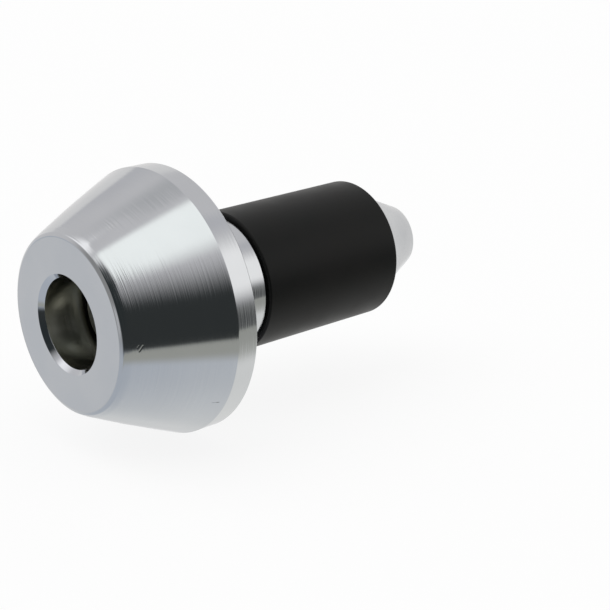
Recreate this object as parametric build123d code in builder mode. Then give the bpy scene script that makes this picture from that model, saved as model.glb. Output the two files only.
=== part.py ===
from build123d import *
import os
from math import radians, tan

# Bar end weight for a motorbike: a turned head that plugs into the open end of a handlebar tube.
# A screw pulls a cone nut towards the head, and the rubber sleeve between them swells and grips the tube.
# Millimetres. The turning axis is Y, the front face looks along -Y, and Z is up.
# The origin is on the axis, in the plane of the shoulder that the end of the tube butts against.

os.makedirs("parts", exist_ok=True)

# Turned head: front face, conical flank, short cylindrical rim, shoulder and spigot
rim_diameter = 34.0
rim_width = 2.9
head_length = 15.7
front_diameter = 22.8
front_edge_radius = 1.0
rim_edge_chamfer = 0.15
spigot_diameter = 17.2
spigot_length = 8.6
spigot_chamfer = 0.3
mouth_chamfer = 0.6

# Clamp screw: M6 socket head cap screw
thread_diameter = 6.0
screw_head_diameter = 10.0
screw_head_height = 6.0
screw_head_edge_radius = 0.6
screw_tip_chamfer = 0.8
socket_width = 5.0
socket_depth = 3.0
socket_mouth_diameter = 7.0
socket_drill_diameter = 4.6
socket_mouth_slope = radians(30)
drill_point_slope = radians(31)

# Rubber sleeve
sleeve_diameter = 18.4
sleeve_length = 22.1
sleeve_edge_chamfer = 0.25

# Cone nut
nut_base_diameter = 15.6
nut_length = 8.0
nut_tail_wall = 1.15
nut_edge_chamfer = 0.2

# Seats and clearances, each on the radius or along the axis
screw_head_sink = 6.1
screw_tip_recess = 2.3
counterbore_clearance = 0.7
screw_hole_clearance = 0.3
sleeve_bore_clearance = 0.25
thread_clearance = 0.05

# Radii that follow from the sizes above
rim_radius = rim_diameter / 2
front_radius = front_diameter / 2
spigot_radius = spigot_diameter / 2
thread_radius = thread_diameter / 2
screw_head_radius = screw_head_diameter / 2
socket_mouth_radius = socket_mouth_diameter / 2
socket_drill_radius = socket_drill_diameter / 2
counterbore_radius = screw_head_radius + counterbore_clearance
screw_hole_radius = thread_radius + screw_hole_clearance
sleeve_radius = sleeve_diameter / 2
sleeve_bore_radius = thread_radius + sleeve_bore_clearance
nut_base_radius = nut_base_diameter / 2
nut_hole_radius = thread_radius + thread_clearance
nut_tail_radius = nut_hole_radius + nut_tail_wall

# Stations along the axis, from the front face to the tail
front_y = -head_length
screw_head_top_y = front_y + screw_head_sink
counterbore_floor_y = screw_head_top_y + screw_head_height
counterbore_depth = counterbore_floor_y - front_y
sleeve_front_y = spigot_length
nut_base_y = sleeve_front_y + sleeve_length
nut_tail_y = nut_base_y + nut_length
screw_tip_y = nut_tail_y - screw_tip_recess

# The front face and the top of the screw head, each looking out towards the key
front_plane = Plane(origin=(0, front_y, 0), x_dir=(1, 0, 0), z_dir=(0, -1, 0))
screw_head_plane = Plane(origin=(0, screw_head_top_y, 0), x_dir=(1, 0, 0), z_dir=(0, -1, 0))

# Head: half section turned about the axis, edges broken, then the stepped screw hole from the front
with BuildPart() as weight_head:
    with BuildSketch(Plane.XY):
        with BuildLine():
            Polyline(
                (0, front_y),
                (front_radius, front_y),
                (rim_radius, -rim_width),
                (rim_radius, 0),
                (spigot_radius, 0),
                (spigot_radius, spigot_length),
                (0, spigot_length),
                close=True,
            )
        make_face()
    revolve(axis=Axis.Y)
    fillet(weight_head.edges().group_by(Axis.Y)[0], radius=front_edge_radius)
    rim_edges = weight_head.edges().filter_by(GeomType.CIRCLE).group_by(SortBy.RADIUS)[-1]
    chamfer(rim_edges, length=rim_edge_chamfer)
    chamfer(weight_head.edges().group_by(Axis.Y)[-1], length=spigot_chamfer)
    with Locations(front_plane):
        CounterBoreHole(
            radius=screw_hole_radius,
            counter_bore_radius=counterbore_radius,
            counter_bore_depth=counterbore_depth,
        )
    mouth_edge = weight_head.edges().group_by(Axis.Y)[0].sort_by(SortBy.RADIUS)[0]
    chamfer(mouth_edge, length=mouth_chamfer)
weight_head.part.label = "weight_head"

# Screw: head seated on the counterbore floor, shank through head and sleeve, tip inside the nut
with BuildPart() as clamp_screw:
    with BuildSketch(Plane.XY):
        with BuildLine():
            Polyline(
                (0, screw_head_top_y),
                (screw_head_radius, screw_head_top_y),
                (screw_head_radius, counterbore_floor_y),
                (thread_radius, counterbore_floor_y),
                (thread_radius, screw_tip_y),
                (0, screw_tip_y),
                close=True,
            )
        make_face()
    revolve(axis=Axis.Y)
    fillet(clamp_screw.edges().group_by(Axis.Y)[0], radius=screw_head_edge_radius)
    chamfer(clamp_screw.edges().group_by(Axis.Y)[-1], length=screw_tip_chamfer)
    # Hexagon socket, its countersunk mouth, and the drill point in its floor
    with BuildSketch(screw_head_plane):
        RegularPolygon(radius=socket_width / 2, side_count=6, major_radius=False)
    extrude(amount=-socket_depth, mode=Mode.SUBTRACT)
    with BuildSketch(Plane.XY):
        with BuildLine():
            Polyline(
                (0, screw_head_top_y),
                (socket_mouth_radius, screw_head_top_y),
                (0, screw_head_top_y + socket_mouth_radius * tan(socket_mouth_slope)),
                close=True,
            )
        make_face()
        with BuildLine():
            Polyline(
                (0, screw_head_top_y + socket_depth),
                (socket_drill_radius, screw_head_top_y + socket_depth),
                (0, screw_head_top_y + socket_depth + socket_drill_radius * tan(drill_point_slope)),
                close=True,
            )
        make_face()
    revolve(axis=Axis.Y, mode=Mode.SUBTRACT)
clamp_screw.part.label = "clamp_screw"

# Sleeve: plain rubber tube between the end of the spigot and the base of the nut
with BuildPart() as rubber_sleeve:
    with BuildSketch(Plane.XZ.offset(-sleeve_front_y)):
        Circle(sleeve_radius)
        Circle(sleeve_bore_radius, mode=Mode.SUBTRACT)
    extrude(amount=-sleeve_length)
    outer_edges = rubber_sleeve.edges().filter_by(GeomType.CIRCLE).group_by(SortBy.RADIUS)[-1]
    chamfer(outer_edges, length=sleeve_edge_chamfer)
rubber_sleeve.part.label = "rubber_sleeve"

# Nut: base flat on the sleeve, tapered towards the tail so that it leads the plug into the tube
with BuildPart() as cone_nut:
    with BuildSketch(Plane.XY):
        with BuildLine():
            Polyline(
                (nut_hole_radius, nut_base_y),
                (nut_base_radius, nut_base_y),
                (nut_tail_radius, nut_tail_y),
                (nut_hole_radius, nut_tail_y),
                close=True,
            )
        make_face()
    revolve(axis=Axis.Y)
    base_edge = cone_nut.edges().group_by(Axis.Y)[0].sort_by(SortBy.RADIUS)[-1]
    tail_edge = cone_nut.edges().group_by(Axis.Y)[-1].sort_by(SortBy.RADIUS)[-1]
    chamfer([base_edge, tail_edge], length=nut_edge_chamfer)
cone_nut.part.label = "cone_nut"

for piece in (weight_head, clamp_screw, rubber_sleeve, cone_nut):
    export_step(piece.part, f"parts/{piece.part.label}.step")
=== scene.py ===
"""Bar end weight for a motorbike handlebar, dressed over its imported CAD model.

A turned aluminium head, the socket screw sunk in it, a black rubber sleeve and the cone nut that squeezes the sleeve.
The turning axis is Y, the front face looks along -Y and Z is up. Sizes are in millimetres until they reach Blender.
"""

import logging
import math
from dataclasses import dataclass
from enum import Enum, IntEnum

import bmesh
import bpy
import numpy as np
from mathutils import Euler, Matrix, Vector


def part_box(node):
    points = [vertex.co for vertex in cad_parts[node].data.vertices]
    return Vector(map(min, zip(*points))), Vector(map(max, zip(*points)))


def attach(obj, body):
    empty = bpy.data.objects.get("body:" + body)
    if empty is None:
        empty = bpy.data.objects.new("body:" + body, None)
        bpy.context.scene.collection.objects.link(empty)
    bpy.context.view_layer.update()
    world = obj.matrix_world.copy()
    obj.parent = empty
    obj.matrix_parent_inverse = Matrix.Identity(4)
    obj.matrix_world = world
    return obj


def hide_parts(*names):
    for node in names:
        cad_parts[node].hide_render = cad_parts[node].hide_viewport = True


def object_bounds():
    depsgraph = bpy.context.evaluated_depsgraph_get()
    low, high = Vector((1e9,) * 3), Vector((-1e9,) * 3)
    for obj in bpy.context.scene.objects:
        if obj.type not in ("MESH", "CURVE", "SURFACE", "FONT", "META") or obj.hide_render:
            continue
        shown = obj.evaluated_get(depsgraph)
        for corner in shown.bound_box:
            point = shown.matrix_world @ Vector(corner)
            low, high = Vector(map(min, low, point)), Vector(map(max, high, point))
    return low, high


Colour = tuple[float, float, float, float]
Socket = bpy.types.NodeSocket
Tree = bpy.types.NodeTree

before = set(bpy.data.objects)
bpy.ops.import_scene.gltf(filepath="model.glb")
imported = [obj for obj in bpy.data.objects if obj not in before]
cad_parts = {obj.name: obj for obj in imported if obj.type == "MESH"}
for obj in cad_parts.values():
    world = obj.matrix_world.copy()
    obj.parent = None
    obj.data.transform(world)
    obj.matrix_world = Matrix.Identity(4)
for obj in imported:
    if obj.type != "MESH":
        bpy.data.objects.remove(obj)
CAD_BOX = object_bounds()
MM = 0.001
LOG = logging.getLogger("bar_end_weight")


def linear(hex_colour: str, level: float = 1.0) -> Colour:
    """Turn an sRGB hex colour into linear light.

    Args:
        hex_colour: Colour written as #rrggbb.
        level: Factor on the linear colour, for a light that is brighter or dimmer than its paper colour.

    Returns:
        Linear red, green and blue, with an alpha of 1.
    """
    values = [int(hex_colour[i:i + 2], 16) / 255 for i in (1, 3, 5)]
    red, green, blue = (level * (v / 12.92 if v <= 0.04045 else ((v + 0.055) / 1.055) ** 2.4) for v in values)
    return red, green, blue, 1.0


# -------- shader nodes


def add_node(tree: Tree, kind: str, inputs: dict | None = None, **settings: object) -> bpy.types.Node:
    """Add one shader node, set it up and link it.

    Args:
        tree: Node tree that gets the node.
        kind: Blender's name for the node, without ShaderNode in front.
        inputs: Socket name or number, to the output that feeds it or to the constant that it holds.
        settings: Properties of the node itself.

    Returns:
        The new node.
    """
    node = tree.nodes.new("ShaderNode" + kind)
    for name, value in settings.items():
        setattr(node, name, value)
    for key, value in (inputs or {}).items():
        if isinstance(value, Socket):
            tree.links.new(value, node.inputs[key])
        else:
            node.inputs[key].default_value = value
    return node


def calculate(tree: Tree, operation: str, *values: Socket | float) -> Socket:
    """Add a Math node for one operation on outputs or constants, and give its result."""
    return add_node(tree, "Math", dict(enumerate(values)), operation=operation).outputs[0]


def mix_colours(tree: Tree, share: Socket, first: Socket | Colour, second: Socket | Colour) -> Socket:
    """Blend two colours, by the share of the second."""
    # The node has sockets of the same name for every kind of data, so the colours go by number
    return add_node(tree, "Mix", {"Factor": share, 6: first, 7: second}, data_type="RGBA").outputs[2]


def smooth_step(tree: Tree, value: Socket, start: float, end: float) -> Socket:
    """Go softly from 0 at the start to 1 at the end, which may lie above the start or below it."""
    limits = {"Value": value, "From Min": start, "From Max": end}
    return add_node(tree, "MapRange", limits, interpolation_type="SMOOTHSTEP").outputs["Result"]


def cloud_noise(tree: Tree, place: Socket, width: float, detail: float) -> Socket:
    """Make a cloudy pattern from 0 to 1, with clouds of a width in millimetres."""
    return add_node(tree, "TexNoise", {"Vector": place, "Scale": 1 / (width * MM), "Detail": detail}).outputs["Fac"]


def blank_material(name: str) -> bpy.types.Material:
    """Make an empty node material.

    Args:
        name: Name of the material and of the process that made its surface.

    Returns:
        The material, with no nodes in it yet.
    """
    material = bpy.data.materials.new(name)
    material.use_nodes = True
    material.node_tree.nodes.clear()
    return material


# -------- finishes


@dataclass(frozen=True)
class Scratch:
    """A short groove knocked into a surface. Millimetres.

    Attributes:
        start: One end of the groove.
        end: Its other end.
        width: Width across the groove.
        depth: Depth of its middle.
        groove_darkening: Darker colour mixed into the groove.
        groove_darkening_share: How much of that colour covers the groove's middle.
    """

    start: tuple[float, float, float]
    end: tuple[float, float, float]
    width: float
    depth: float
    groove_darkening: str = "#3A3B3A"
    groove_darkening_share: float = 0.4

    def mask(self, tree: Tree, place: Socket) -> Socket:
        """Work out how far inside the groove a point lies.

        Args:
            tree: Node tree of the surface.
            place: The point, in metres.

        Returns:
            1 along the groove's middle and 0 outside it.
        """
        first, last = Vector(self.start) * MM, Vector(self.end) * MM
        reach = last - first
        offset = add_node(tree, "VectorMath", {0: place, 1: first}, operation="SUBTRACT").outputs["Vector"]
        along = {0: offset, 1: reach / reach.length_squared}
        passed = add_node(tree, "VectorMath", along, operation="DOT_PRODUCT").outputs["Value"]
        share = add_node(tree, "Clamp", {"Value": passed}).outputs[0]
        nearest = add_node(tree, "VectorMath", {0: reach, "Scale": share}, operation="SCALE").outputs["Vector"]
        miss = add_node(tree, "VectorMath", {0: offset, 1: nearest}, operation="DISTANCE").outputs["Value"]
        return smooth_step(tree, miss, self.width / 2 * MM, 0.0)


@dataclass(frozen=True)
class TurnedMetal:
    """Metal cut on a lathe: tool lines run round the axis and tilt the mirror a little from line to line.

    Attributes:
        name: Material name.
        pale: Colour of the cleaner patches.
        deep: Colour of the duller patches.
        roughness: Micro roughness between the lines.
        line_roughness: Extra roughness in the deepest lines.
        line_pitch: Spacing of the lines as drawn, in millimetres.
        line_tilt: Typical tilt of the surface across a line, in degrees.
        cloud: Width of the patches, in millimetres.
        scratches: Grooves knocked into the surface since.
    """

    name: str
    pale: str
    deep: str
    roughness: float
    line_roughness: float
    line_pitch: float
    line_tilt: float
    cloud: float = 7.0
    scratches: tuple[Scratch, ...] = ()

    def material(self) -> bpy.types.Material:
        """Build the node material.

        Returns:
            The finished material.
        """
        material = blank_material(self.name)
        tree = material.node_tree
        place = add_node(tree, "TexCoord").outputs["Object"]
        lines = self._lines(tree, place)
        depth = math.tan(math.radians(self.line_tilt)) * self.line_pitch * MM
        bump = add_node(tree, "Bump", {"Height": lines, "Strength": 1.0, "Distance": depth}).outputs["Normal"]
        clouds = cloud_noise(tree, place, self.cloud, 3.0)
        patches = add_node(tree, "MapRange", {"Value": clouds, "From Min": 0.35, "From Max": 0.65}).outputs["Result"]
        colour = mix_colours(tree, patches, linear(self.pale), linear(self.deep))
        for scratch in self.scratches:
            groove = scratch.mask(tree, place)
            relief = {"Height": groove, "Strength": 1.0, "Distance": -scratch.depth * MM, "Normal": bump}
            bump = add_node(tree, "Bump", relief).outputs["Normal"]
            # The groove's middle is mixed towards a darker colour
            groove_darkening = calculate(tree, "MULTIPLY", groove, scratch.groove_darkening_share)
            colour = mix_colours(tree, groove_darkening, colour, linear(scratch.groove_darkening))
        limits = {
            "Value": lines,
            "From Min": 0.4,
            "From Max": 0.75,
            "To Min": self.roughness,
            "To Max": self.roughness + self.line_roughness,
        }
        rough = add_node(tree, "MapRange", limits).outputs["Result"]
        surface = {"Base Color": colour, "Metallic": 1.0, "Roughness": rough, "Normal": bump}
        shader = add_node(tree, "BsdfPrincipled", surface).outputs[0]
        add_node(tree, "OutputMaterial", {"Surface": shader})
        return material

    def _lines(self, tree: Tree, place: Socket) -> Socket:
        """Draw the tool lines.

        Args:
            tree: Node tree of the surface.
            place: The point, in metres.

        Returns:
            Height of the lines, from 0 to 1.
        """
        parts = add_node(tree, "SeparateXYZ", {0: place}).outputs
        across = add_node(tree, "CombineXYZ", {"X": parts["X"], "Z": parts["Z"]}).outputs[0]
        radius = add_node(tree, "VectorMath", {0: across}, operation="LENGTH").outputs["Value"]
        heading = add_node(tree, "VectorMath", {0: across}, operation="NORMALIZE").outputs["Vector"]
        # Radius plus station counts the tool's travel on the face, the flank and the rim alike
        travel = calculate(tree, "ADD", radius, parts["Y"])
        count = calculate(tree, "MULTIPLY", travel, 1 / (self.line_pitch * MM))
        along = add_node(tree, "CombineXYZ", {"Y": count}).outputs[0]
        spot = add_node(tree, "VectorMath", {0: heading, 1: along}, operation="ADD").outputs["Vector"]
        pattern = {"Vector": spot, "Scale": 1.0, "Detail": 2.5, "Roughness": 0.6}
        return add_node(tree, "TexNoise", pattern).outputs["Fac"]


@dataclass(frozen=True)
class MouldedRubber:
    """Black rubber out of a mould: a soft sheen, a faint grain and a little bloom.

    Attributes:
        name: Material name.
        black: Colour of the clean rubber.
        bloom: Colour where the rubber has bloomed.
        roughness: Roughness of the clean skin.
        bloom_roughness: Roughness of the bloomed skin.
        grain: Width of the mould's grain as drawn, in millimetres.
        grain_depth: Depth of the grain, in millimetres.
        cloud: Width of the bloomed patches, in millimetres.
        ior: Index of refraction of rubber.
        sheen: Strength of the reflection, where 0.5 is a clean surface. Bloom dulls it.
    """

    name: str
    black: str
    bloom: str
    roughness: float
    bloom_roughness: float
    grain: float
    grain_depth: float
    cloud: float
    ior: float = 1.52
    sheen: float = 0.15

    def material(self) -> bpy.types.Material:
        """Build the node material.

        Returns:
            The finished material.
        """
        material = blank_material(self.name)
        tree = material.node_tree
        place = add_node(tree, "TexCoord").outputs["Object"]
        grain = cloud_noise(tree, place, self.grain, 3.0)
        relief = {"Height": grain, "Strength": 1.0, "Distance": self.grain_depth * MM}
        bump = add_node(tree, "Bump", relief).outputs["Normal"]
        clouds = cloud_noise(tree, place, self.cloud, 4.0)
        patches = add_node(tree, "MapRange", {"Value": clouds, "From Min": 0.35, "From Max": 0.7}).outputs["Result"]
        colour = mix_colours(tree, patches, linear(self.black), linear(self.bloom))
        limits = {"Value": patches, "To Min": self.roughness, "To Max": self.bloom_roughness}
        rough = add_node(tree, "MapRange", limits).outputs["Result"]
        surface = {
            "Base Color": colour,
            "Roughness": rough,
            "IOR": self.ior,
            "Specular IOR Level": self.sheen,
            "Normal": bump,
        }
        shader = add_node(tree, "BsdfPrincipled", surface).outputs[0]
        add_node(tree, "OutputMaterial", {"Surface": shader})
        return material


@dataclass(frozen=True)
class PaperSweep:
    """Matt white paper under the object, white to the camera and still carrying the shadow.

    Attributes:
        name: Material name.
        paper: Colour of the paper.
        white_share: Part of what the camera sees that is plain white and not the lit paper.
    """

    name: str = "paper_matt_white"
    paper: str = "#F3F3F3"
    white_share: float = 0.88

    def material(self) -> bpy.types.Material:
        """Build the node material.

        Returns:
            The finished material.
        """
        material = blank_material(self.name)
        tree = material.node_tree
        seen = add_node(tree, "LightPath").outputs["Is Camera Ray"]
        share = calculate(tree, "MULTIPLY", seen, self.white_share)
        lit = add_node(tree, "BsdfDiffuse", {"Color": linear(self.paper)}).outputs[0]
        white = add_node(tree, "Emission", {"Color": linear("#FFFFFF"), "Strength": 1.0}).outputs[0]
        shader = add_node(tree, "MixShader", {0: share, 1: lit, 2: white}).outputs[0]
        add_node(tree, "OutputMaterial", {"Surface": shader})
        return material


# Clear anodised aluminium, turned and polished: a near mirror. The tool's feed of about 0.1 mm is too fine to show,
# so its lines are drawn 0.3 mm apart, and they break up the places where light turns to dark.
# Two small knocks, one near the front and one by the rim, catch the light. Each is a pair of strokes.
FLANK_FINISH = TurnedMetal(
    name="aluminium_turned_polished", pale="#D2D4D7", deep="#CFD1D4",
    roughness=0.09, line_roughness=0.05, line_pitch=0.30, line_tilt=2.7,
    scratches=(
        Scratch((12.18, -13.84, -0.32), (12.37, -13.46, 0.32), width=0.30, depth=0.010),
        Scratch((12.11, -14.01, 0.16), (12.17, -13.89, 0.38), width=0.22, depth=0.006),
        Scratch((13.70, -4.50, -8.90), (14.00, -3.86, -8.92), width=0.20, depth=0.002),
        Scratch((13.95, -3.97, -8.92), (14.04, -3.78, -8.92), width=0.34, depth=0.008),
    ),
)

# The same aluminium faced off and polished: an even mirror with hardly a line in it.
FACE_FINISH = TurnedMetal(
    name="aluminium_faced_polished", pale="#D2D4D8", deep="#CDD0D5",
    roughness=0.08, line_roughness=0.03, line_pitch=0.30, line_tilt=0.25,
)

# Aluminium as it comes from the boring bar: a warm grey with soft reflections of the screw head below.
BORE_FINISH = TurnedMetal(
    name="aluminium_bored_warm", pale="#DDDCD1", deep="#D1D0C5",
    roughness=0.22, line_roughness=0.06, line_pitch=0.40, line_tilt=1.0, cloud=4.0,
)

# The back of the head, turned and left: rings from the tool, with soft reflections.
SHOULDER_FINISH = TurnedMetal(
    name="aluminium_turned_fine", pale="#CFD1D4", deep="#C8CACD",
    roughness=0.17, line_roughness=0.08, line_pitch=0.35, line_tilt=1.2,
)

# Aluminium turned and left: brighter than the bore, with plain tool rings.
NUT_FINISH = TurnedMetal(
    name="aluminium_turned_plain", pale="#D2D4D6", deep="#C8CACD",
    roughness=0.17, line_roughness=0.09, line_pitch=0.30, line_tilt=1.8, cloud=5.0,
)

# Steel, cold headed and dull: a mid grey that spreads the light.
SCREW_FINISH = TurnedMetal(
    name="steel_cold_headed_dull", pale="#B7B8B6", deep="#A6A7A4",
    roughness=0.36, line_roughness=0.10, line_pitch=0.30, line_tilt=1.0, cloud=3.0,
)

# The same steel where the punch has sized the socket's mouth, a little smoother, and a paler colour that is a painted
# highlight for the bright ring it catches.
SOCKET_HIGHLIGHT_FINISH = TurnedMetal(
    name="steel_punched_painted_highlight", pale="#CDCECD", deep="#C2C3C2",
    roughness=0.26, line_roughness=0.08, line_pitch=0.30, line_tilt=0.6, cloud=3.0,
)

# Natural rubber, moulded: nearly black, with a soft sheen towards its edges. The mould's grain of about 0.05 mm is
# too fine to show, so it is drawn at 0.2 mm, and only softens the sheen.
SLEEVE_FINISH = MouldedRubber(
    name="rubber_moulded_black", black="#0C0E0D", bloom="#131211",
    roughness=0.36, bloom_roughness=0.44, grain=0.20, grain_depth=0.004, cloud=6.0,
)


# -------- turned and threaded shapes


@dataclass(frozen=True)
class Corner:
    """A corner of a turned half section, in millimetres.

    Attributes:
        radius: Distance from the turning axis.
        station: Place along the axis.
        edge: Radius that breaks the corner.
        surface: Material slot of the corner and of the run that leaves it.
    """

    radius: float
    station: float
    edge: float
    surface: int = 0


@dataclass(frozen=True)
class TurnedSection:
    """A closed half section that is turned about the axis, with the material on the left of its path.

    Attributes:
        corners: Corners in order.
        segments: Facets round the axis.
        arc_step: Largest turn of one facet in a broken corner, in degrees.
        longest_run: Longest facet along a straight run, in millimetres.
    """

    corners: tuple[Corner, ...]
    segments: int = 288
    arc_step: float = 10.0
    longest_run: float = 1.2

    def trace(self) -> tuple[np.ndarray, np.ndarray, np.ndarray]:
        """Walk round the section once, breaking each corner.

        Returns:
            Radius and station of each point, the outward normal there, and the slot of the run that leaves it.
        """
        points: list[np.ndarray] = []
        normals: list[np.ndarray] = []
        surfaces: list[int] = []
        at = [np.array((c.radius, c.station)) for c in self.corners]
        for i, corner in enumerate(self.corners):
            before, here, after = at[i - 1], at[i], at[(i + 1) % len(at)]
            way_in = (here - before) / np.linalg.norm(here - before)
            way_out = (after - here) / np.linalg.norm(after - here)
            turn = math.atan2(way_in[0] * way_out[1] - way_in[1] * way_out[0], float(way_in @ way_out))
            normal = np.array((way_in[1], -way_in[0]))
            signed_edge = math.copysign(corner.edge, turn)
            centre = here - way_in * corner.edge * math.tan(abs(turn) / 2) - normal * signed_edge
            steps = max(2, math.ceil(math.degrees(abs(turn)) / self.arc_step))
            if points:
                self._run(points, normals, surfaces, centre + normal * signed_edge)
            for angle in np.linspace(0, turn, steps + 1):
                cos, sin = math.cos(angle), math.sin(angle)
                turned = np.array((normal[0] * cos - normal[1] * sin, normal[0] * sin + normal[1] * cos))
                points.append(centre + turned * signed_edge)
                normals.append(turned)
                surfaces.append(corner.surface)
        self._run(points, normals, surfaces, points[0])
        return np.array(points), np.array(normals), np.array(surfaces)

    def _run(
        self, points: list[np.ndarray], normals: list[np.ndarray], surfaces: list[int], end: np.ndarray
    ) -> None:
        """Divide the straight run from the last point to the next corner.

        Args:
            points: Points so far, which get the new ones.
            normals: Normals so far.
            surfaces: Material slots so far.
            end: Start of the next corner, which isn't added.
        """
        start = points[-1]
        normal, surface = normals[-1], surfaces[-1]
        parts = math.ceil(np.linalg.norm(end - start) / self.longest_run)
        for step in range(1, parts):
            points.append(start + (end - start) * step / parts)
            normals.append(normal)
            surfaces.append(surface)

    def mesh(self, name: str) -> bpy.types.Mesh:
        """Turn the section about the axis.

        Args:
            name: Name of the mesh.

        Returns:
            A closed mesh with exact normals.
        """
        points, normals, surfaces = self.trace()
        rows, columns = len(points), self.segments
        angle = np.arange(columns) * 2 * math.pi / columns
        spread = np.stack((np.cos(angle), np.sin(angle)), axis=1)

        def round_axis(pairs: np.ndarray) -> np.ndarray:
            """Carry (radius, station) pairs round the axis."""
            return np.stack(
                (
                    np.outer(pairs[:, 0], spread[:, 0]),
                    np.repeat(pairs[:, 1:2], columns, axis=1),
                    np.outer(pairs[:, 0], spread[:, 1]),
                ),
                axis=2,
            ).reshape(-1, 3)

        row, column = (grid.ravel() for grid in np.meshgrid(np.arange(rows), np.arange(columns), indexing="ij"))
        next_row, next_column = (row + 1) % rows, (column + 1) % columns
        faces = np.stack(
            (
                row * columns + column,
                next_row * columns + column,
                next_row * columns + next_column,
                row * columns + next_column,
            ),
            axis=1,
        )
        mesh = bpy.data.meshes.new(name)
        mesh.from_pydata((round_axis(points) * MM).tolist(), [], faces.tolist())
        mesh.polygons.foreach_set("material_index", surfaces[row].astype(np.int32))
        mesh.shade_smooth()
        mesh.normals_split_custom_set_from_vertices(round_axis(normals).tolist())
        return mesh


# Sixty degree thread, flat at crest and root. Its depth is a share of the pitch. Its profile goes from one crest
# to the next, as shares of pitch and depth.
THREAD_DEPTH = 0.6134
THREAD_PROFILE = (
    (0.0, 0.0), (0.0625, 0.0), (0.125, 0.0), (0.28, 0.5),
    (0.4375, 1.0), (0.5625, 1.0), (0.6875, 1.0), (0.84, 0.5),
)


class ThreadSide(Enum):
    """Which side of a thread is cut, and how far that side stands off, in millimetres."""

    SCREW = 0.0
    NUT = 0.05


@dataclass(frozen=True)
class MetricThread:
    """Right-hand thread about the axis, in millimetres.

    Attributes:
        side: Screw or nut.
        start: Station where the thread begins.
        end: Station where it ends.
        start_radius: Radius that it runs out to at the start.
        end_radius: Radius that it runs out to at the end.
        start_slope: Radius lost for each millimetre from the start.
        major_radius: Radius of the crests of the screw.
        pitch: Distance from crest to crest.
    """

    side: ThreadSide
    start: float
    end: float
    start_radius: float
    end_radius: float
    start_slope: float = 1.0
    major_radius: float = 3.0
    pitch: float = 1.0

    def rows(self, angle: np.ndarray) -> list[np.ndarray]:
        """Wind the thread's crests, flanks and roots.

        Args:
            angle: Angles round the axis of one row's points.

        Returns:
            Rows of (radius, station) pairs from start to end, which begin and end in plain circles.
        """
        depth = THREAD_DEPTH * self.pitch
        first = math.floor(self.start / self.pitch) - 1
        last = math.ceil(self.end / self.pitch) + 2
        rows = []
        for turn in range(first, last):
            for share, sink in THREAD_PROFILE:
                station = (turn + share + 1 - angle / (2 * math.pi)) * self.pitch
                station = np.clip(station, self.start, self.end)
                into, left = station - self.start, self.end - station
                radius = np.full_like(station, self.major_radius + self.side.value - sink * depth)
                radius = np.maximum(radius, self.start_radius - self.start_slope * into)
                if self.side is ThreadSide.SCREW:
                    radius = np.minimum(radius, self.end_radius + left)
                else:
                    radius = np.maximum(radius, self.end_radius - left)
                rows.append(np.stack((radius, station), axis=1))
        return rows


# What a skin welds and drops, in metres, and the angle from which its edges stay sharp, in degrees
WELD_DISTANCE = 2e-7
SLIVER_LENGTH = 1e-7
SHARP_ANGLE = 24.0


def skin_rows(name: str, rows: list[np.ndarray], angle: np.ndarray, surfaces: list[int]) -> bpy.types.Mesh:
    """Skin rows of points that go once round the axis, and weld what meets.

    Args:
        name: Name of the mesh.
        rows: Rows of (radius, station) pairs, one pair for each angle.
        angle: Angles round the axis, the first repeated at the end as a full turn.
        surfaces: Material slot of the band that leaves each row.

    Returns:
        The mesh, smooth up to its real edges.
    """
    grid = np.array(rows)
    places = np.stack((grid[..., 0] * np.cos(angle), grid[..., 1], grid[..., 0] * np.sin(angle)), axis=2) * MM
    build = bmesh.new()
    points = [[build.verts.new(place) for place in row] for row in places.tolist()]
    for lower, upper, surface in zip(points, points[1:], surfaces):
        for j in range(len(angle) - 1):
            face = build.faces.new((lower[j], upper[j], upper[j + 1], lower[j + 1]))
            face.material_index = surface
    bmesh.ops.remove_doubles(build, verts=build.verts, dist=WELD_DISTANCE)
    bmesh.ops.dissolve_degenerate(build, edges=build.edges, dist=SLIVER_LENGTH)
    mesh = bpy.data.meshes.new(name)
    build.to_mesh(mesh)
    build.free()
    mesh.shade_smooth()
    mesh.set_sharp_from_angle(angle=math.radians(SHARP_ANGLE))
    return mesh


def set_piece(
    name: str, mesh: bpy.types.Mesh, finishes: list[TurnedMetal | MouldedRubber], node: str
) -> bpy.types.Object:
    """Put a dressed piece in the place of its CAD node.

    Args:
        name: Name of the piece.
        mesh: Its mesh, in metres in the part's frame.
        finishes: Finishes in the order of the mesh's material slots.
        node: CAD node that it stands for.

    Returns:
        The piece, riding on the part's one body.
    """
    for finish in finishes:
        mesh.materials.append(finish.material())
    piece = bpy.data.objects.new(name, mesh)
    bpy.context.scene.collection.objects.link(piece)
    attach(piece, "root")
    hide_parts(node)
    LOG.info("%s: %d faces, finishes %s", name, len(mesh.polygons), ", ".join(f.name for f in finishes))
    return piece


# -------- the four pieces


class HeadSurface(IntEnum):
    """Material slots of the turned head."""

    FLANK = 0
    FACE = 1
    BORE = 2
    SHOULDER = 3


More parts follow.
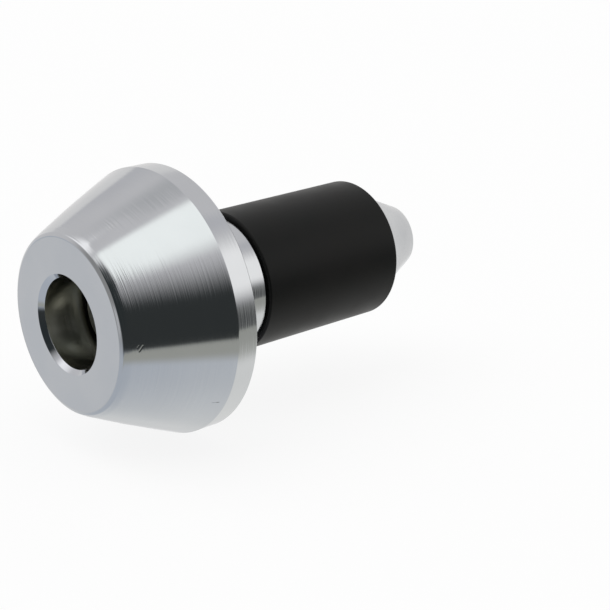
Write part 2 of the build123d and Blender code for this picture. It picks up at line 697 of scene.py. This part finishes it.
@dataclass
class WeightHead:
    """Turned head: face, conical flank, rim, shoulder, spigot and the stepped screw hole. Millimetres.

    Polishing has rolled the front edge over, with a narrow lip at the face, and crowned the flank a little.
    Both leave the straight cone by about 0.1 mm.

    Attributes:
        rim_radius: Radius of the rim.
        rim_width: Width of the rim along the axis.
        rim_front_edge: Radius that breaks the rim towards the flank.
        rim_edge: Chamfer of the rim towards the shoulder.
        head_length: Length from the face to the shoulder.
        front_radius: Radius of the face, to the corner before its edge is broken.
        front_edge: Radius that breaks the edge of the face.
        lip: Corner from the lip to the rolled edge.
        roll: Corner that rolls the edge over into the flank.
        crown: Corner that crowns the flank.
        shoulder_root: Radius in the corner between shoulder and spigot.
        spigot_radius: Radius of the spigot.
        spigot_length: Length of the spigot.
        spigot_chamfer: Chamfer of its end.
        bore_radius: Radius of the key recess.
        bore_depth: Depth of the key recess.
        bore_root: Radius in the corner of its floor.
        mouth_chamfer: Chamfer of its mouth.
        mouth_edge: Radius that breaks the chamfer towards the recess.
        hole_radius: Radius of the screw hole.
        hole_edge: Radius that breaks the hole's ends.
        crisp: Radius of an edge that is left sharp.
    """

    rim_radius: float = 17.0
    rim_width: float = 2.9
    rim_front_edge: float = 0.25
    rim_edge: float = 0.15
    head_length: float = 15.7
    front_radius: float = 10.86
    front_edge: float = 0.5
    lip: Corner = Corner(11.305, -15.454, 0.5)
    roll: Corner = Corner(11.746, -14.75, 5.5)
    crown: Corner = Corner(13.955, -10.2, 143.0)
    shoulder_root: float = 0.15
    spigot_radius: float = 8.6
    spigot_length: float = 8.6
    spigot_chamfer: float = 0.3
    bore_radius: float = 5.7
    bore_depth: float = 12.1
    bore_root: float = 0.2
    mouth_chamfer: float = 0.6
    mouth_edge: float = 0.12
    hole_radius: float = 3.3
    hole_edge: float = 0.1
    crisp: float = 0.05

    def build(self) -> bpy.types.Mesh:
        """Turn the head.

        Returns:
            Its mesh, with a slot each for flank, face, bore and shoulder.
        """
        low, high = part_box("weight_head")
        rim = min(self.rim_radius, *(abs(v) / MM for v in (low.x, high.x, low.z, high.z)))
        front, floor = -self.head_length, self.bore_depth - self.head_length
        flank, face, bore, shoulder = HeadSurface
        section = TurnedSection(
            (
                Corner(self.bore_radius + self.mouth_chamfer, front, self.crisp, face),
                Corner(self.front_radius, front, self.front_edge, flank),
                self.lip,
                self.roll,
                self.crown,
                Corner(rim, -self.rim_width, self.rim_front_edge, flank),
                Corner(rim, -self.rim_edge, self.crisp, flank),
                Corner(rim - self.rim_edge, 0.0, self.crisp, shoulder),
                Corner(self.spigot_radius, 0.0, self.shoulder_root, flank),
                Corner(self.spigot_radius, self.spigot_length - self.spigot_chamfer, self.crisp, flank),
                Corner(self.spigot_radius - self.spigot_chamfer, self.spigot_length, self.crisp, flank),
                Corner(self.hole_radius, self.spigot_length, self.hole_edge, bore),
                Corner(self.hole_radius, floor, self.hole_edge, bore),
                Corner(self.bore_radius, floor, self.bore_root, bore),
                Corner(self.bore_radius, front + self.mouth_chamfer, self.mouth_edge, face),
            )
        )
        return section.mesh("weight_head_turned")

    def dress(self) -> bpy.types.Object:
        """Give the head its finishes and set it in place."""
        finishes = [FLANK_FINISH, FACE_FINISH, BORE_FINISH, SHOULDER_FINISH]
        return set_piece("weight_head_turned", self.build(), finishes, "weight_head")


class ScrewSurface(IntEnum):
    """Material slots of the screw."""

    BODY = 0
    SOCKET_MOUTH = 1


@dataclass
class ClampScrew:
    """Socket head cap screw, M6 by 40, with its hexagon socket and rolled thread. Millimetres and degrees.

    Attributes:
        head_top: Station of the top of the head.
        head_radius: Radius of the head.
        head_height: Height of the head.
        head_edge: Radius that breaks the edge of its top.
        edge_rows: Rows of points in that edge.
        seat_edge: Chamfer under the head, and fillet from the seat to the shank.
        socket_width: Width of the hexagon across its flats.
        socket_depth: Depth of the hexagon.
        mouth_radius: Radius of the socket's countersunk mouth.
        mouth_slope: Slope of the countersink.
        drill_radius: Radius of the drill point in the socket's floor.
        drill_slope: Slope of the drill point.
        shank_radius: Radius of the shank.
        thread_length: Length of the thread.
        run_out: Slope of the thread's run-out towards the head.
        tip: Station of the tip.
        tip_chamfer: Chamfer of the tip.
        guard: Width of the strips that hold a flat's shading flat beside an edge.
        segments: Facets round the axis.
    """

    head_top: float = -9.6
    head_radius: float = 5.0
    head_height: float = 6.0
    head_edge: float = 0.6
    edge_rows: int = 9
    seat_edge: float = 0.2
    socket_width: float = 5.0
    socket_depth: float = 3.0
    mouth_radius: float = 3.5
    mouth_slope: float = 30.0
    drill_radius: float = 2.3
    drill_slope: float = 31.0
    shank_radius: float = 3.0
    thread_length: float = 24.0
    run_out: float = 0.4
    tip: float = 36.4
    tip_chamfer: float = 0.8
    guard: float = 0.05
    segments: int = 96

    def build(self) -> bpy.types.Mesh:
        """Build the screw from the bottom of its socket to its tip.

        Returns:
            Its mesh, with a second slot for the socket's mouth.
        """
        angle = np.linspace(0, 2 * math.pi, self.segments + 1)

        def ring(radius: float | np.ndarray, station: float | np.ndarray) -> np.ndarray:
            """Make one row of (radius, station) pairs."""
            return np.stack(np.broadcast_arrays(radius, station, angle)[:2], axis=1)

        # Radius of the hexagon at each angle, with two of its corners along X
        hexagon = self.socket_width / 2 / np.cos((angle % (math.pi / 3)) - math.pi / 6)
        top, floor, seat = self.head_top, self.head_top + self.socket_depth, self.head_top + self.head_height
        point = floor + self.drill_radius * math.tan(math.radians(self.drill_slope))
        mouth = top + (self.mouth_radius - hexagon) * math.tan(math.radians(self.mouth_slope))
        socket = [ring(0.0, point), ring(self.drill_radius, floor), ring(hexagon, floor)]
        rows = [
            *socket,
            ring(hexagon, mouth),
            ring(self.mouth_radius, top),
            ring(self.mouth_radius + self.guard, top),
            ring(self.head_radius - self.head_edge - self.guard, top),
        ]
        for turn in np.linspace(0, math.pi / 2, self.edge_rows):
            edge = self.head_radius - self.head_edge * (1 - math.sin(turn))
            rows.append(ring(edge, top + self.head_edge * (1 - math.cos(turn))))
        rows += [
            ring(self.head_radius, top + self.head_edge + self.guard),
            ring(self.head_radius, seat - self.seat_edge),
            ring(self.head_radius - self.seat_edge, seat),
            ring(self.shank_radius + self.seat_edge, seat),
            ring(self.shank_radius, seat + self.seat_edge),
        ]
        thread = MetricThread(
            side=ThreadSide.SCREW,
            start=self.tip - self.thread_length,
            end=self.tip,
            start_radius=self.shank_radius,
            end_radius=self.shank_radius - self.tip_chamfer,
            start_slope=self.run_out,
        )
        rows += [*thread.rows(angle), ring(0.0, self.tip)]
        surfaces = [ScrewSurface.BODY] * len(rows)
        # The countersunk mouth takes the paler steel: a painted highlight on its ring
        surfaces[len(socket)] = ScrewSurface.SOCKET_MOUTH
        return skin_rows("clamp_screw_threaded", rows, angle, surfaces)

    def dress(self) -> bpy.types.Object:
        """Give the screw its finishes and set it in place."""
        finishes = [SCREW_FINISH, SOCKET_HIGHLIGHT_FINISH]
        return set_piece("clamp_screw_threaded", self.build(), finishes, "clamp_screw")


@dataclass
class RubberSleeve:
    """Rubber tube between spigot and nut. Millimetres.

    Attributes:
        radius: Radius of the tube.
        bore_radius: Radius of its bore.
        front: Station of its front end.
        length: Length of the tube.
        outer_edge: Radius that breaks its outer edges.
        inner_edge: Radius that breaks the edges of its bore.
        segments: Facets round the axis.
    """

    radius: float = 9.2
    bore_radius: float = 3.25
    front: float = 8.6
    length: float = 22.1
    outer_edge: float = 0.3
    inner_edge: float = 0.15
    segments: int = 192

    def build(self) -> bpy.types.Mesh:
        """Turn the tube, with the soft edges of a moulding.

        Returns:
            Its mesh, in one slot.
        """
        back = self.front + self.length
        section = TurnedSection(
            (
                Corner(self.bore_radius, self.front, self.inner_edge),
                Corner(self.radius, self.front, self.outer_edge),
                Corner(self.radius, back, self.outer_edge),
                Corner(self.bore_radius, back, self.inner_edge),
            ),
            segments=self.segments,
        )
        return section.mesh("rubber_sleeve_moulded")

    def dress(self) -> bpy.types.Object:
        """Give the sleeve its rubber and set it in place."""
        return set_piece("rubber_sleeve_moulded", self.build(), [SLEEVE_FINISH], "rubber_sleeve")


@dataclass
class ConeNut:
    """Tapered nut behind the sleeve, with its tapped hole. Millimetres.

    Attributes:
        base: Station of its base.
        length: Length of the nut.
        base_radius: Radius of its base.
        tail_radius: Radius of its tail.
        edge: Chamfer of its outer edges.
        mouth_radius: Radius of the hole's mouth at both ends.
        segments: Facets round the axis.
    """

    base: float = 30.7
    length: float = 8.0
    base_radius: float = 7.8
    tail_radius: float = 4.2
    edge: float = 0.2
    mouth_radius: float = 3.2
    segments: int = 96

    def build(self) -> bpy.types.Mesh:
        """Build the nut round its thread.

        Returns:
            Its mesh, in one slot.
        """
        angle = np.linspace(0, 2 * math.pi, self.segments + 1)
        tail = self.base + self.length
        slant = np.array((self.tail_radius - self.base_radius, self.length))
        slant = slant / np.linalg.norm(slant) * self.edge
        outside = (
            (self.mouth_radius, self.base),
            (self.base_radius - self.edge, self.base),
            (self.base_radius + slant[0], self.base + slant[1]),
            (self.tail_radius - slant[0], tail - slant[1]),
            (self.tail_radius - self.edge, tail),
            (self.mouth_radius, tail),
        )
        rows = [np.tile(pair, (len(angle), 1)) for pair in outside]
        thread = MetricThread(ThreadSide.NUT, self.base, tail, self.mouth_radius, self.mouth_radius)
        rows += thread.rows(angle)[::-1]
        return skin_rows("cone_nut_tapped", rows, angle, [0] * len(rows))

    def dress(self) -> bpy.types.Object:
        """Give the nut its finish and set it in place."""
        return set_piece("cone_nut_tapped", self.build(), [NUT_FINISH], "cone_nut")


# -------- studio and camera


@dataclass(frozen=True)
class SoftEdge:
    """A soft edge between two parts of the studio.

    Attributes:
        middle: Where the middle of the edge lies.
        blend: Width of the edge.
    """

    middle: float
    blend: float

    def rise(self, tree: Tree, value: Socket) -> Socket:
        """Go from 0 below the edge to 1 above it."""
        return smooth_step(tree, value, self.middle - self.blend / 2, self.middle + self.blend / 2)

    def fall(self, tree: Tree, value: Socket) -> Socket:
        """Go from 1 below the edge to 0 above it."""
        return smooth_step(tree, value, self.middle + self.blend / 2, self.middle - self.blend / 2)


@dataclass(frozen=True)
class StudioPatch:
    """A soft-edged patch of the studio round the object. Degrees.

    Attributes:
        colour: Colour of the patch.
        bearing: Compass direction of its middle, 0 in front of the face and 90 towards +X.
        side: Its edge at both sides, counted from the middle.
        low: Its lower edge.
        high: Its upper edge.
        lean: Rise of the upper edge for each degree of bearing.
        level: Brightness, where 1 shows the colour as written.
    """

    colour: str
    bearing: float
    side: SoftEdge
    low: SoftEdge
    high: SoftEdge
    lean: float = 0.0
    level: float = 1.0

    def mask(self, tree: Tree, bearing: Socket, height: Socket) -> Socket:
        """Work out how much of the patch lies in a direction.

        Args:
            tree: Node tree of the surround.
            bearing: Compass direction, in degrees.
            height: Height above the horizon, in degrees.

        Returns:
            1 inside the patch and 0 outside it.
        """
        offset = calculate(tree, "SUBTRACT", bearing, self.bearing)
        wrapped = calculate(tree, "WRAP", offset, 180.0, -180.0)
        inside = self.side.fall(tree, calculate(tree, "ABSOLUTE", wrapped))
        above = self.low.rise(tree, height)
        below = self.high.fall(tree, calculate(tree, "MULTIPLY_ADD", wrapped, -self.lean, height))
        band = calculate(tree, "MULTIPLY", above, below)
        return calculate(tree, "MULTIPLY", band, inside)


# Each patch lies over the ones before it: colour, bearing, then its edges at the sides, below and above
STUDIO_PATCHES = (
    # The table, paler to the left
    StudioPatch("#D8D9DA", -87.0, SoftEdge(49.0, 41.0), SoftEdge(-46.0, 22.0), SoftEdge(-11.0, 10.0)),
    # Two dimmer places on the ceiling, low on the left and at the back
    StudioPatch("#CBCBCE", -112.0, SoftEdge(10.0, 14.0), SoftEdge(15.0, 4.0), SoftEdge(40.0, 30.0)),
    StudioPatch("#CDCDD0", 160.0, SoftEdge(9.0, 14.0), SoftEdge(44.0, 8.0), SoftEdge(60.0, 8.0)),
    # Paper rising behind and to the left, and its brighter fold
    StudioPatch("#E9E8E7", -140.0, SoftEdge(55.0, 30.0), SoftEdge(-33.0, 30.0), SoftEdge(30.0, 2.0), lean=-0.28),
    StudioPatch("#FFFFFF", -130.0, SoftEdge(22.0, 14.0), SoftEdge(-31.0, 8.0), SoftEdge(-8.5, 8.0)),
    # A greyer corner of the ceiling, high on the left
    StudioPatch("#C3C4C5", -102.0, SoftEdge(12.0, 14.0), SoftEdge(57.0, 17.0), SoftEdge(80.0, 6.0)),
    # Grey wall in front
    StudioPatch("#999998", -5.5, SoftEdge(33.5, 28.0), SoftEdge(-18.0, 21.0), SoftEdge(42.3, 4.5)),
    # The dark room beyond the table's edge, from behind the camera round to the right
    StudioPatch("#363939", 76.2, SoftEdge(60.5, 32.0), SoftEdge(-26.0, 13.0), SoftEdge(33.4, 35.0), lean=-0.51),
    StudioPatch("#303536", 34.0, SoftEdge(23.0, 14.0), SoftEdge(-4.5, 24.5), SoftEdge(58.0, 29.0)),
    StudioPatch("#303536", 20.0, SoftEdge(18.0, 12.0), SoftEdge(27.0, 14.0), SoftEdge(60.0, 14.0)),
    # A pale card straight ahead of the face
    StudioPatch("#C9CACC", -2.0, SoftEdge(8.0, 7.0), SoftEdge(-14.0, 8.0), SoftEdge(2.0, 6.0)),
    # The table's far edge, in the shade
    StudioPatch("#AEAFA8", 77.5, SoftEdge(60.5, 25.5), SoftEdge(-36.0, 10.5), SoftEdge(-22.2, 2.4), lean=0.132),
    # Soft box at the back right
    StudioPatch("#FFFEFC", 135.7, SoftEdge(18.7, 14.0), SoftEdge(6.6, 17.0), SoftEdge(40.6, 15.3), level=1.15),
    # Soft box in front, to the left
    StudioPatch("#FFFEFE", -47.5, SoftEdge(21.2, 24.2), SoftEdge(35.1, 19.7), SoftEdge(67.7, 2.0), level=1.25),
)


@dataclass(frozen=True)
class OverheadBox:
    """Soft box on a ceiling one unit above the object: a crisp edge to the left and a long fade to the right.

    Attributes:
        colour: Colour of the box.
        level: Brightness, where 1 shows the colour as written.
        left: Its edge towards -X.
        right: Its edge towards +X.
        front: Its edge towards -Y.
        back: Its edge towards +Y.
        least_rise: Least rise of a direction that still meets the ceiling.
    """

    colour: str = "#FCFFFC"
    level: float = 1.26
    left: SoftEdge = SoftEdge(-0.064, 0.125)
    right: SoftEdge = SoftEdge(0.757, 0.51)
    front: SoftEdge = SoftEdge(-0.385, 0.18)
    back: SoftEdge = SoftEdge(0.45, 0.2)
    least_rise: float = 0.02

    def mask(self, tree: Tree, x: Socket, y: Socket, z: Socket) -> Socket:
        """Work out how much of the box lies in a direction.

        Args:
            tree: Node tree of the surround.
            x: The direction's share along X.
            y: Its share along Y.
            z: Its rise.

        Returns:
            1 inside the box and 0 outside it.
        """
        rise = calculate(tree, "MAXIMUM", z, self.least_rise)
        over_x = calculate(tree, "DIVIDE", x, rise)
        over_y = calculate(tree, "DIVIDE", y, rise)
        mask = self.left.rise(tree, over_x)
        for side in (self.right.fall(tree, over_x), self.front.rise(tree, over_y), self.back.fall(tree, over_y)):
            mask = calculate(tree, "MULTIPLY", mask, side)
        return mask


@dataclass
class Studio:
    """Plain white paper, a pale studio with soft boxes and a dark gap, and one wide soft lamp.

    Attributes:
        floor_radius: Radius of the paper, in millimetres.
        lamp_strength: Strength of the lamp.
        lamp_width: Angle that the lamp fills, in degrees.
        lamp_tilt: Angle of the lamp from straight above, in degrees.
        lamp_turn: Turn of that tilt about the vertical, in degrees.
        ceiling: Colour of the ceiling.
        table_front: Colour of the table in front.
        table_back: Colour of the table behind, paler towards the paper.
        table_edge: Where the one turns into the other, as a share of the direction along Y.
        horizon: Edge between table and ceiling, in degrees.
        patches: What else the metal mirrors.
        overhead: Soft box overhead.
    """

    floor_radius: float = 4000.0
    lamp_strength: float = 1.0
    lamp_width: float = 60.0
    lamp_tilt: float = 28.0
    lamp_turn: float = -35.0
    ceiling: str = "#D9D8D9"
    table_front: str = "#C0C6CE"
    table_back: str = "#EFEFEC"
    table_edge: SoftEdge = SoftEdge(0.11, 0.97)
    horizon: SoftEdge = SoftEdge(0.0, 6.0)
    patches: tuple[StudioPatch, ...] = STUDIO_PATCHES
    overhead: OverheadBox = OverheadBox()

    def build(self) -> None:
        """Set up the surround, the floor and the lamp."""
        self._surround()
        self._floor()
        self._lamp()

    def _surround(self) -> None:
        """Paint the studio that the metal mirrors. The camera sees plain white in its place."""
        world = bpy.data.worlds.new("studio_surround")
        world.use_nodes = True
        bpy.context.scene.world = world
        tree = world.node_tree
        tree.nodes.clear()
        direction = add_node(tree, "TexCoord").outputs["Generated"]
        parts = add_node(tree, "SeparateXYZ", {0: direction}).outputs
        x, y, z = parts["X"], parts["Y"], parts["Z"]
        front = calculate(tree, "MULTIPLY", y, -1.0)
        bearing = calculate(tree, "DEGREES", calculate(tree, "ARCTAN2", x, front))
        height = calculate(tree, "DEGREES", calculate(tree, "ARCSINE", z))
        back = self.table_edge.rise(tree, y)
        table = mix_colours(tree, back, linear(self.table_front), linear(self.table_back))
        colour = mix_colours(tree, self.horizon.rise(tree, height), table, linear(self.ceiling))
        for patch in self.patches:
            mask = patch.mask(tree, bearing, height)
            colour = mix_colours(tree, mask, colour, linear(patch.colour, patch.level))
        mask = self.overhead.mask(tree, x, y, z)
        colour = mix_colours(tree, mask, colour, linear(self.overhead.colour, self.overhead.level))
        studio = add_node(tree, "Background", {"Color": colour, "Strength": 1.0}).outputs[0]
        white = add_node(tree, "Background", {"Color": linear("#FFFFFF"), "Strength": 1.0}).outputs[0]
        seen = add_node(tree, "LightPath").outputs["Is Camera Ray"]
        shader = add_node(tree, "MixShader", {0: seen, 1: studio, 2: white}).outputs[0]
        add_node(tree, "OutputWorld", {"Surface": shader})
        LOG.info("studio surround: %d patches and a soft box overhead", len(self.patches))

    def _floor(self) -> None:
        """Lay the paper under the lowest point of the rim."""
        build = bmesh.new()
        bmesh.ops.create_circle(build, cap_ends=True, radius=self.floor_radius * MM, segments=96)
        mesh = bpy.data.meshes.new("paper_floor")
        build.to_mesh(mesh)
        build.free()
        mesh.materials.append(PaperSweep().material())
        floor = bpy.data.objects.new("paper_floor", mesh)
        floor.location.z = CAD_BOX[0].z
        # The surround's lower half is this paper as the metal mirrors it
        floor.visible_glossy = False
        bpy.context.scene.collection.objects.link(floor)
        LOG.info("paper floor at %.2f mm", CAD_BOX[0].z / MM)

    def _lamp(self) -> None:
        """Hang one wide, far lamp, high in front and to the left, which the metal doesn't mirror."""
        light = bpy.data.lights.new("soft_key", "SUN")
        light.energy = self.lamp_strength
        light.angle = math.radians(self.lamp_width)
        lamp = bpy.data.objects.new("soft_key", light)
        lamp.rotation_euler = Euler((math.radians(self.lamp_tilt), 0, math.radians(self.lamp_turn)))
        lamp.visible_glossy = False
        bpy.context.scene.collection.objects.link(lamp)
        LOG.info("soft key lamp: strength %.2f", self.lamp_strength)


@dataclass
class PhotoCamera:
    """Camera at the photograph's viewing angle.

    Attributes:
        place: Where it stands, in millimetres.
        bearing: Its turn about the vertical, in degrees.
        height: How far it looks down, in degrees.
        lens: Focal length, in millimetres.
        sensor: Width of the sensor, in millimetres.
        nearest: Nearest point that it shows, in metres.
        farthest: Farthest point that it shows, in metres.
    """

    place: tuple[float, float, float] = (163.04, -121.02, 71.37)
    bearing: float = 48.665
    height: float = 19.721
    lens: float = 100.69
    sensor: float = 36.0
    nearest: float = 0.01
    farthest: float = 20.0

    def build(self) -> bpy.types.Object:
        """Set up the camera.

        Returns:
            The scene's camera.
        """
        data = bpy.data.cameras.new("photo_camera")
        data.lens = self.lens
        data.sensor_width = self.sensor
        data.clip_start, data.clip_end = self.nearest, self.farthest
        camera = bpy.data.objects.new("photo_camera", data)
        camera.location = Vector(self.place) * MM
        camera.rotation_euler = Euler((math.radians(90 - self.height), 0, math.radians(self.bearing)))
        bpy.context.scene.collection.objects.link(camera)
        bpy.context.scene.camera = camera
        LOG.info("camera: %.1f mm lens", self.lens)
        return camera


def main() -> None:
    """Build the pieces in order, then the studio and the camera."""
    logging.basicConfig(level=logging.INFO, format="%(name)s: %(message)s")
    bpy.context.scene.view_settings.view_transform = "Standard"
    for assembly in (WeightHead(), ClampScrew(), RubberSleeve(), ConeNut()):
        assembly.dress()
    Studio().build()
    PhotoCamera().build()
    bpy.context.view_layer.update()


if __name__ == "__main__":
    main()
